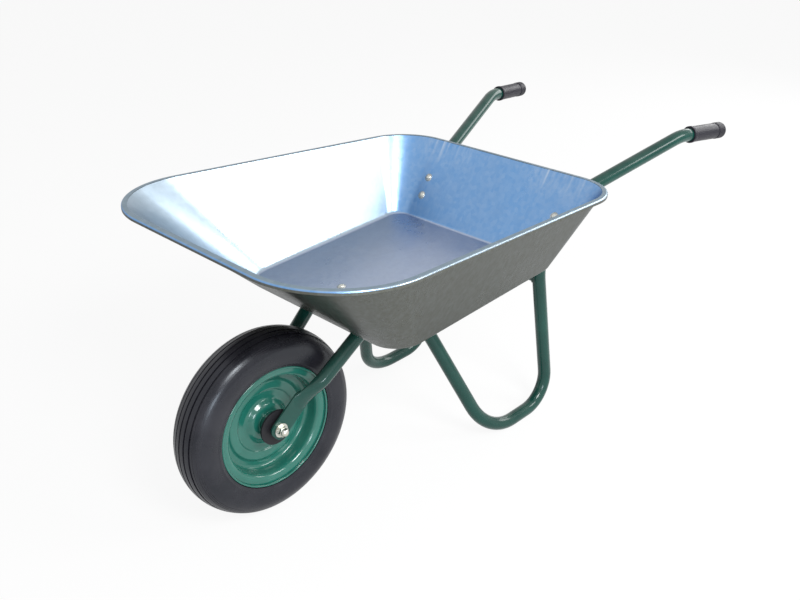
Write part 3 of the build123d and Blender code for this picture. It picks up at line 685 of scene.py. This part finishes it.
def tyre_side():
    """One half of the outside, from the middle groove to the side wall's end."""
    line = [on_arc(TREAD_ARC, angle, GROOVE_DEPTH) for angle in (0.0, GROOVE_HALF * FLOOR_SHARE)]
    line += [on_arc(TREAD_ARC, GROOVE_HALF)]
    for groove in GROOVES:
        rib_start = groove - GROOVE_PITCH + GROOVE_HALF
        line += [on_arc(TREAD_ARC, rib_start + share * RIB_WIDTH) for share in RIB_POINTS]
        line += cut_at(TREAD_ARC, groove, GROOVE_HALF, GROOVE_DEPTH)
    line += [on_arc(TREAD_ARC, OUTER_RIB_START)]
    line += cut_at(TREAD_ARC, RIB_LINE, RIB_LINE_HALF, LINE_DEPTH)
    line += [on_arc(TREAD_ARC, OUTER_RIB_END), on_arc(SHOULDER_ARC, SHOULDER_START)]
    for angle in SHOULDER_LINES:
        line += cut_at(SHOULDER_ARC, angle, LINE_HALF, LINE_DEPTH)
    line += [on_arc(SHOULDER_ARC, angle) for angle in SHOULDER_PLAIN]
    line += [on_arc(WALL_ARC, angle) for angle in WALL_PLAIN]
    line += [on_arc(WALL_ARC, angle, -RING_RISE) for angle in WALL_RING]
    line += [on_arc(WALL_ARC, angle) for angle in WALL_END]
    return line


def on_rib(face, turned_to):
    """Whether a face is the top of a rib, in the step of the sector whose middle is turned this far."""
    middle = face.calc_center_median() - AXLE
    if abs(degrees(atan2(middle.x, middle.z)) - turned_to) > STEP_TOLERANCE:
        return False
    for groove in (0.0, *GROOVES):
        radius, sideways = on_arc(TREAD_ARC, groove + GROOVE_PITCH / 2)
        level = hypot(middle.x, middle.z) > radius - RIB_TOLERANCE
        if level and abs(abs(middle.y) - sideways) < RIB_TOLERANCE:
            return True
    return False


def cut_sipes(tyre, turned_to, side):
    """Press narrow slots into the ribs on one side, in the step whose middle is turned this far."""
    pick_faces(tyre, lambda face: on_rib(face, turned_to) and face.calc_center_median().y * side > 0)
    outwards = Vector((sin(radians(turned_to)), 0, cos(radians(turned_to))))
    bpy.ops.mesh.inset(thickness=SIPE_MARGIN, use_individual=True)
    bpy.ops.transform.resize(value=(SIPE_SHARE, 1, 1), center_override=AXLE + outwards * TYRE_RADIUS)
    press_in(SIPE_DEPTH)


def make_tyre():
    """The tyre: one sector of two steps with its sipes is modelled, then repeated round the wheel."""
    half = tyre_side() + BEAD + TYRE_INSIDE
    outline = half + [(radius, -sideways) for radius, sideways in half[:0:-1]]
    points = [wheel_point(radius, sideways) for radius, sideways in outline]
    tyre = start_line("tyre_moulded", points)
    join_ends(tyre, points)
    bpy.ops.mesh.select_all(action="SELECT")
    sector = 2 * pi / SIPE_COUNT
    bpy.ops.mesh.spin(steps=2, angle=sector, center=AXLE, axis=WHEEL_AXIS)
    bpy.ops.mesh.select_all(action="SELECT")
    bpy.ops.mesh.normals_make_consistent(inside=False)
    half_step = degrees(sector) / 4
    cut_sipes(tyre, half_step, 1)
    cut_sipes(tyre, 3 * half_step, -1)
    bpy.ops.mesh.select_mode(type="VERT")
    bpy.ops.mesh.select_all(action="SELECT")
    copies = SIPE_COUNT - 1
    bpy.ops.mesh.spin(steps=copies, angle=sector * copies, center=AXLE, axis=WHEEL_AXIS, dupli=True)
    merge_points()
    close()
    place_piece(tyre, "wheel", "tyre_rubber", "tyre")
    smooth(tyre, angle=28.0)


# ---------------------------------------------------------------- rims
RIM_SHEET = 0.0016
RIM_STEPS = 144
VALVE_HOLE_RADIUS = 0.00475
VALVE_DRILL_LENGTH = 0.03
VALVE_DRILL_HEIGHT = 0.1  # of its middle above the axle
# (radius, sideways, cut back) from the edge that holds the tyre in to the hub.
RIM_CORNERS = [
    (0.1180, 0.0375, 0.0),
    (0.1180, 0.0388, 0.0011),
    (0.1207, 0.0388, 0.0013),
    (0.1207, 0.0338, 0.0030),
    (0.1007, 0.0338, 0.0098),
    (0.1007, 0.0008, 0.0085),
    (0.0840, 0.0008, 0.0030),
    (0.0805, 0.0048, 0.0020),
    (0.0655, 0.0048, 0.0020),
    (0.0620, 0.0008, 0.0025),
    (0.0460, 0.0008, 0.0045),
    (0.0340, 0.0118, 0.0055),
    (0.0213, 0.0118, 0.0),
]


def drill_valve_hole(rim):
    """Drill the rim's seat where the valve comes through."""
    valve = middle_of("valve_cap")
    bpy.ops.object.select_all(action="DESELECT")
    place = (valve.x, valve.y, AXLE.z + VALVE_DRILL_HEIGHT)
    bpy.ops.mesh.primitive_cylinder_add(
        vertices=32, radius=VALVE_HOLE_RADIUS, depth=VALVE_DRILL_LENGTH, location=place
    )
    drill = bpy.context.object
    apply_modifier(rim, "BOOLEAN", object=drill, operation="DIFFERENCE", solver="EXACT")
    bpy.data.objects.remove(drill)


def make_rim(name, sign, node):
    """One pressed half of the rim: its section drawn with rounded corners, spun and given its thickness."""
    rim = draw_section(name, lambda radius, sideways: wheel_point(radius, sign * sideways), RIM_CORNERS)
    spin_round(RIM_STEPS, AXLE, WHEEL_AXIS)
    close()
    apply_modifier(rim, "SOLIDIFY", thickness=RIM_SHEET, offset=0.0)
    if sign < 0:
        drill_valve_hole(rim)
    place_piece(rim, "wheel", "rim_paint", node)
    smooth(rim, angle=40.0)


# ---------------------------------------------------------------- weld beads
RIPPLE = (0.80, 1.0)  # shares of a bead's radius, by turns
HUB_WELD_RADIUS = 0.0222
HUB_WELD_SIDEWAYS = 0.0132
HUB_WELD_STEPS = 80
HUB_WELD_WIDTH = 0.0032
BRACE_WELD_CLEAR = 0.0008  # from the brace's side to the middle of its bead
BRACE_WELD_RISE = 0.0006
BRACE_WELD_STEPS = 36
BRACE_WELD_WIDTH = 0.0040
STRAP_WELD_SIDEWAYS = 0.0756
STRAP_WELD_STEP = 0.0010
STRAP_WELD_HALF_STEPS = 8
STRAP_WELD_CLEAR = 0.0002
STRAP_WELD_RISE = 0.0004
STRAP_WELD_WIDTH = 0.0038
SEARCH_HEIGHT = 0.05  # above the strap, from where its beads look down for the tube


def run_bead(name, body, points, width, closed=False):
    """A rippled weld bead along a line of points, in the paint of the body it is on."""
    bead = start_line(name, points)
    if closed:
        join_ends(bead, points)
    close()
    select_only(bead)
    bpy.ops.object.convert(target="CURVE")
    bead = bpy.context.object
    bead.data.bevel_depth = width / 2
    bead.data.bevel_resolution = 2
    bead.data.use_fill_caps = True
    for spline in bead.data.splines:
        for index, point in enumerate(spline.points):
            point.radius = RIPPLE[index % 2]
    bpy.ops.object.convert(target="MESH")
    bead = bpy.context.object
    bead.name = name
    select_only(bead)
    bpy.ops.object.mode_set(mode="EDIT")
    bpy.ops.mesh.select_mode(type="VERT")
    merge_points()
    close()
    place_piece(bead, body, "rim_paint" if body == "wheel" else "frame_paint")
    smooth(bead, angle=60.0)


def surface_point(node, start, direction):
    """Where a line from a start point first meets a node."""
    met, place, _, _ = nodes[node].ray_cast(start, direction)
    return place if met else None


def ring(middle, radius, steps):
    """Points round a circle that stands upright and faces sideways."""
    turns = [2 * pi * step / steps for step in range(steps)]
    return [middle + Vector((radius * cos(turn), 0, radius * sin(turn))) for turn in turns]


def weld_hub():
    """A ring of weld where each pressed disc meets the hub."""
    for side, sign in SIDES:
        middle = AXLE + Vector((0, sign * HUB_WELD_SIDEWAYS, 0))
        points = ring(middle, HUB_WELD_RADIUS, HUB_WELD_STEPS)
        run_bead("hub_weld_" + side, "wheel", points, HUB_WELD_WIDTH, closed=True)


def weld_brace():
    """A ring of weld round each end of the leg brace, lying on the leg."""
    low, high = box_of("leg_brace")
    reach = (high.z - low.z) / 2 + BRACE_WELD_CLEAR
    for side, sign in SIDES:
        outwards = Vector((0, sign, 0))
        starts = ring((low + high) / 2, reach, BRACE_WELD_STEPS)
        points = [surface_point(side + "_frame_tube", start, outwards) for start in starts]
        points = [point - outwards * BRACE_WELD_RISE for point in points]
        run_bead("brace_weld_" + side, "frame", points, BRACE_WELD_WIDTH, closed=True)


def weld_strap():
    """Two short beads on each frame tube, along the edges of the strap that carries the tray."""
    low, high = box_of("tray_support_strap")
    edges = (("front", high.x + STRAP_WELD_CLEAR), ("rear", low.x - STRAP_WELD_CLEAR))
    steps = range(-STRAP_WELD_HALF_STEPS, STRAP_WELD_HALF_STEPS + 1)
    upwards = Vector((0, 0, 1))
    for side, sign in SIDES:
        places = [sign * (STRAP_WELD_SIDEWAYS + step * STRAP_WELD_STEP) for step in steps]
        for edge, x in edges:
            starts = [Vector((x, y, high.z + SEARCH_HEIGHT)) for y in places]
            points = [surface_point(side + "_frame_tube", start, -upwards) for start in starts]
            points = [point + upwards * STRAP_WELD_RISE for point in points]
            run_bead("strap_weld_" + side + "_" + edge, "frame", points, STRAP_WELD_WIDTH)


# ---------------------------------------------------------------- grips
GRIP_LENGTH = 0.112
GRIP_COLLAR_START = 0.105
# (distance from the closed end, radius, cut back) round the outside, in at the mouth and down the bore.
GRIP_CORNERS = [
    (0.0002, 0.0, 0.0),
    (0.0002, 0.0178, 0.0075),
    (0.0250, 0.0178, 0.0007),
    (0.0256, 0.0163, 0.0003),
    (0.0272, 0.0163, 0.0003),
    (0.0280, 0.0170, 0.0006),
    (0.1030, 0.0170, 0.0012),
    (0.1045, 0.0181, 0.0012),
    (GRIP_LENGTH, 0.0181, 0.0016),
    (GRIP_LENGTH, 0.01415, 0.0004),
    (0.0040, 0.01415, 0.0),
    (0.0040, 0.0, 0.0),
]
FLUTES = 32
FLUTE_DEPTH = 0.0005
FLUTE_MARGIN = 0.0003
FLUTE_MIDDLE = 0.0158  # from the closed end
FLUTE_TOLERANCE = 0.002
FLUTE_RADIUS = 0.0172  # faces farther out than this are on the outside


def make_grip(name, mount, node):
    """A moulded grip: its section turned round the handle, with flutes pressed round its closed end."""
    middle, along = Vector(mount["pos_m"]), Vector(mount["axis"]).normalized()
    across = along.cross(Vector((0, 0, 1))).normalized()
    beside = along.cross(across)
    end = middle + along * (GRIP_COLLAR_START - mount["dims"]["length_mm"] / 2000)
    grip = draw_section(name, lambda back, radius: end - along * back + across * radius, GRIP_CORNERS)
    spin_round(2 * FLUTES, end, along)

    def on_flute(face):
        place = face.calc_center_median() - end
        near = abs(place.dot(along) + FLUTE_MIDDLE) < FLUTE_TOLERANCE
        out = hypot(place.dot(across), place.dot(beside)) > FLUTE_RADIUS
        turn = atan2(place.dot(beside), place.dot(across)) / (pi / FLUTES)
        return near and out and round(turn - 0.5) % 2 == 0

    pick_faces(grip, on_flute)
    bpy.ops.mesh.inset(thickness=FLUTE_MARGIN, use_individual=True)
    press_in(FLUTE_DEPTH)
    close()
    place_piece(grip, "frame", "grip_rubber", node)
    smooth(grip, angle=40.0)


def make_grips():
    """A grip on each handle, placed by the mount there."""
    mounts = {mount["name"]: mount for mount in frame["record"]["mounts"]}
    for side, _ in SIDES:
        make_grip(side + "_grip_moulded", mounts[side + "_grip_end"], side + "_grip")


# ---------------------------------------------------------------- studio: floor, lamps and world
FLOOR_RADIUS = 14.0
FLOOR_DROP = 0.0005
FLOOR_GLOW = 0.30  # share of its own light that the floor shows to the camera and in gloss and glass
FLOOR_GLOW_TO_CAMERA = 0.60  # and this much more to the camera
WORLD_STRENGTH_UNSEEN = 0.40  # how strongly the white world lights what is rough; it shows at 1
LAMP_TARGET = Vector((0.0, 0.0, 0.35))
COOL_LIGHT = (0.84, 0.92, 1.0)
CAMERA_PLACE = (1.2396, 1.2284, 1.1836)
CAMERA_YAW, CAMERA_PITCH, CAMERA_ROLL = radians(-133.0), radians(-27.9), radians(-2.7)
CAMERA_LENS, CAMERA_SENSOR = 41.5, 36.0


def seen_rays(tree, rays, place):
    """1 for rays from the camera and those that gloss or glass sends on, and 0 for the rest."""
    left, top = place
    seen = math_node(tree, "MAXIMUM", place, rays["Is Camera Ray"], rays["Is Glossy Ray"])
    return math_node(tree, "MAXIMUM", (left + 150, top), seen, rays["Is Transmission Ray"])


def make_floor_material():
    """A plain white floor that keeps the shadow."""
    material = bpy.data.materials.new("studio_floor")
    material.use_nodes = True
    tree = material.node_tree
    tree.nodes.clear()
    output = add(tree, "ShaderNodeOutputMaterial", (600, 0))
    diffuse = add(tree, "ShaderNodeBsdfDiffuse", (0, 100), Color=(*FLOOR_WHITE, 1.0))
    glow = add(tree, "ShaderNodeEmission", (0, -100), Color=(*STUDIO_WHITE, 1.0), Strength=1.0)
    rays = add(tree, "ShaderNodeLightPath", (-400, 300)).outputs
    direct = math_node(tree, "MULTIPLY", (50, 400), rays["Is Camera Ray"], FLOOR_GLOW_TO_CAMERA)
    share = scaled(tree, (150, 300), seen_rays(tree, rays, (-200, 300)), FLOOR_GLOW, direct)
    mixed = add(tree, "ShaderNodeMixShader", (300, 0))
    for socket, source in zip(mixed.inputs, (share, diffuse.outputs[0], glow.outputs[0])):
        tree.links.new(source, socket)
    tree.links.new(mixed.outputs[0], output.inputs["Surface"])
    return material


def make_floor():
    """A wide round floor just under the wheel and the legs."""
    bpy.ops.object.select_all(action="DESELECT")
    place = (0, 0, -FLOOR_DROP)
    bpy.ops.mesh.primitive_circle_add(vertices=96, radius=FLOOR_RADIUS, fill_type="NGON", location=place)
    floor = bpy.context.object
    floor.name = "studio_floor"
    floor.data.materials.append(make_floor_material())


def make_world():
    """White surroundings that light the object less than they show."""
    world = bpy.data.worlds.new("studio")
    bpy.context.scene.world = world
    world.use_nodes = True
    tree = world.node_tree
    back = tree.nodes["Background"]
    back.inputs["Color"].default_value = (*STUDIO_WHITE, 1.0)
    rays = add(tree, "ShaderNodeLightPath", (-600, 0)).outputs
    seen = seen_rays(tree, rays, (-400, 0))
    strength = ranged(tree, (-100, 0), seen, 0.0, 1.0, WORLD_STRENGTH_UNSEEN, 1.0)
    tree.links.new(strength, back.inputs["Strength"])


def softbox(name, place, size, power, colour=(1.0, 1.0, 1.0)):
    """A rectangular lamp that looks at the middle of the object."""
    lamp = bpy.data.lights.new(name, "AREA")
    lamp.shape = "RECTANGLE"
    lamp.size, lamp.size_y = size
    lamp.energy = power
    lamp.color = colour
    holder = bpy.data.objects.new(name, lamp)
    bpy.context.collection.objects.link(holder)
    holder.location = place
    holder.rotation_mode = "QUATERNION"
    holder.rotation_quaternion = (LAMP_TARGET - Vector(place)).to_track_quat("-Z", "Y")


def make_camera():
    """The camera stands ahead of the barrow, on the user's left, and looks down at it."""
    camera = bpy.data.cameras.new("camera")
    camera.lens = CAMERA_LENS
    camera.sensor_width = CAMERA_SENSOR
    holder = bpy.data.objects.new("camera", camera)
    bpy.context.collection.objects.link(holder)
    along, down = cos(CAMERA_PITCH), sin(CAMERA_PITCH)
    ahead = Vector((along * cos(CAMERA_YAW), along * sin(CAMERA_YAW), down))
    level = Vector((sin(CAMERA_YAW), -cos(CAMERA_YAW), 0.0))
    above = level.cross(ahead)
    right = cos(CAMERA_ROLL) * level + sin(CAMERA_ROLL) * above
    up = cos(CAMERA_ROLL) * above - sin(CAMERA_ROLL) * level
    turned = Matrix((right, up, -ahead)).transposed().to_4x4()
    holder.matrix_world = Matrix.Translation(CAMERA_PLACE) @ turned
    bpy.context.scene.camera = holder


# ---------------------------------------------------------------- the scene
make_floor()
make_world()
make_camera()
softbox("front_lamp", (0.7, 2.5, 2.4), (1.0, 1.0), 70)
softbox("left_lamp", (-1.4, 2.5, 2.0), (1.3, 0.9), 36)
softbox("low_lamp", (1.8, 2.9, 0.9), (0.9, 0.7), 28, colour=COOL_LIGHT)
softbox("back_lamp", (-2.6, 0.4, 1.3), (2.2, 0.9), 30)
bpy.context.scene.view_settings.view_transform = "Standard"

for name, node in nodes.items():
    dress(node, THREADED.get(name, slots[name]))
make_tyre()
for side, sign in SIDES:
    make_rim("rim_pressing_" + side, sign, "rim_" + side)
weld_hub()
weld_brace()
weld_strap()
make_grips()
